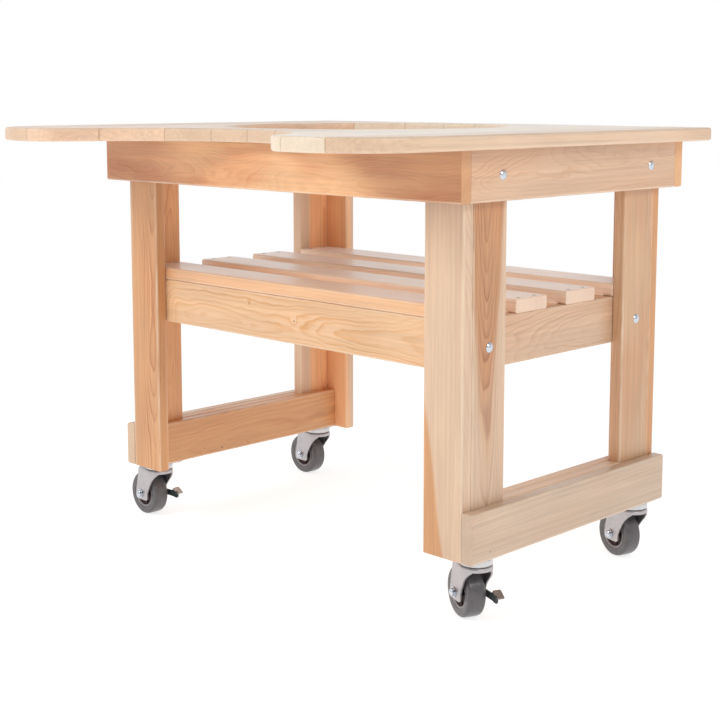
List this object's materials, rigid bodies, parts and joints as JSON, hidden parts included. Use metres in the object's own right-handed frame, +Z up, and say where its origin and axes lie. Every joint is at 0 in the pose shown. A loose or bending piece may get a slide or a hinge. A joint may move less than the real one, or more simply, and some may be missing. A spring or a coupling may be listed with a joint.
{
  "type": "kamado grill table",
  "caption": "Rolling timber table for a kamado grill: bolted board frame, slatted shelf, board top with a round hole and a front bay, swivel casters.",
  "frame": {"origin": "on the floor under the middle of the table top", "axes": "+Z up, +X along the table, the bay for the cook is at -Y"},
  "size_m": [1.0674, 0.965, 0.851],
  "materials": {
    "top_wood": "clear semi-gloss, pale straight and cathedral grain",
    "frame_wood": "clear satin, warm orange heartwood",
    "pale_wood": "clear satin, pale sapwood",
    "zinc": "bright zinc plated steel",
    "tyre_grey": "grey non-marking rubber",
    "hub_plastic": "dark brown moulded hub",
    "lever_paint": "dark grey-green lever with a bare pedal"
  },
  "bodies": {
    "table": {"apron_back": "frame_wood", "apron_front": "frame_wood", "apron_left": "frame_wood", "apron_right": "frame_wood", "caster_plate_back_left": "zinc", "caster_plate_back_right": "zinc", "caster_plate_front_left": "zinc", "caster_plate_front_right": "zinc", "foot_beam_left": "pale_wood", "foot_beam_right": "pale_wood", "leg_face_back_left": "pale_wood", "leg_face_back_right": "pale_wood", "leg_face_front_left": "pale_wood", "leg_face_front_right": "pale_wood", "leg_return_back_left": "frame_wood", "leg_return_back_right": "frame_wood", "leg_return_front_left": "frame_wood", "leg_return_front_right": "frame_wood", "shelf_rail_back": "frame_wood", "shelf_rail_front": "frame_wood", "shelf_rail_left": "pale_wood", "shelf_rail_right": "pale_wood", "shelf_slat_1": "pale_wood", "shelf_slat_2": "pale_wood", "shelf_slat_3": "pale_wood", "shelf_slat_4": "pale_wood", "top_board_01": "top_wood", "top_board_02": "top_wood", "top_board_03": "top_wood", "top_board_04": "top_wood", "top_board_05": "top_wood", "top_board_06": "top_wood", "top_board_07": "top_wood", "top_board_08": "top_wood", "top_board_09": "top_wood", "top_board_10": "top_wood", "top_board_11": "top_wood", "top_board_12": "top_wood", "top_bridge": "top_wood", "top_cleat_back": "pale_wood", "top_cleat_front": "pale_wood"},
    "swivel_front_left": {"caster_fork_front_left": "zinc", "caster_axle_front_left": "zinc"},
    "wheel_front_left": {"caster_tyre_front_left": "tyre_grey", "caster_hub_front_left": "hub_plastic"},
    "lever_front_left": {"brake_lever_front_left": "lever_paint"},
    "swivel_front_right": {"caster_fork_front_right": "zinc", "caster_axle_front_right": "zinc"},
    "wheel_front_right": {"caster_tyre_front_right": "tyre_grey", "caster_hub_front_right": "hub_plastic"},
    "lever_front_right": {"brake_lever_front_right": "lever_paint"},
    "swivel_back_left": {"caster_fork_back_left": "zinc", "caster_axle_back_left": "zinc"},
    "wheel_back_left": {"caster_tyre_back_left": "tyre_grey", "caster_hub_back_left": "hub_plastic"},
    "swivel_back_right": {"caster_fork_back_right": "zinc", "caster_axle_back_right": "zinc"},
    "wheel_back_right": {"caster_tyre_back_right": "tyre_grey", "caster_hub_back_right": "hub_plastic"}
  },
  "joints": [
    {"name": "swivel_front_left_turn", "type": "hinge", "parent": "table", "child": "swivel_front_left", "pos_m": [-0.45, -0.1175, 0.11], "axis": [0, 0, 1], "continuous": true},
    {"name": "wheel_front_left_spin", "type": "hinge", "parent": "swivel_front_left", "child": "wheel_front_left", "pos_m": [-0.48698, -0.11621, 0.04628], "axis": [0.0349, 0.9994, 0], "continuous": true},
    {"name": "brake_front_left", "type": "hinge", "parent": "swivel_front_left", "child": "lever_front_left", "pos_m": [-0.48698, -0.11621, 0.04628], "axis": [0.0349, 0.9994, 0], "range_deg": [0, 22]},
    {"name": "swivel_front_right_turn", "type": "hinge", "parent": "table", "child": "swivel_front_right", "pos_m": [0.45, -0.1175, 0.11], "axis": [0, 0, 1], "continuous": true},
    {"name": "wheel_front_right_spin", "type": "hinge", "parent": "swivel_front_right", "child": "wheel_front_right", "pos_m": [0.4162, -0.10245, 0.04628], "axis": [0.4067, 0.9135, 0], "continuous": true},
    {"name": "brake_front_right", "type": "hinge", "parent": "swivel_front_right", "child": "lever_front_right", "pos_m": [0.4162, -0.10245, 0.04628], "axis": [0.4067, 0.9135, 0], "range_deg": [0, 22]},
    {"name": "swivel_back_left_turn", "type": "hinge", "parent": "table", "child": "swivel_back_left", "pos_m": [-0.45, 0.3595, 0.11], "axis": [0, 0, 1], "continuous": true},
    {"name": "wheel_back_left_spin", "type": "hinge", "parent": "swivel_back_left", "child": "wheel_back_left", "pos_m": [-0.48698, 0.36079, 0.04628], "axis": [0.0349, 0.9994, 0], "continuous": true},
    {"name": "swivel_back_right_turn", "type": "hinge", "parent": "table", "child": "swivel_back_right", "pos_m": [0.45, 0.3595, 0.11], "axis": [0, 0, 1], "continuous": true},
    {"name": "wheel_back_right_spin", "type": "hinge", "parent": "swivel_back_right", "child": "wheel_back_right", "pos_m": [0.41462, 0.37032, 0.04628], "axis": [0.2924, 0.9563, 0], "continuous": true}
  ]
}
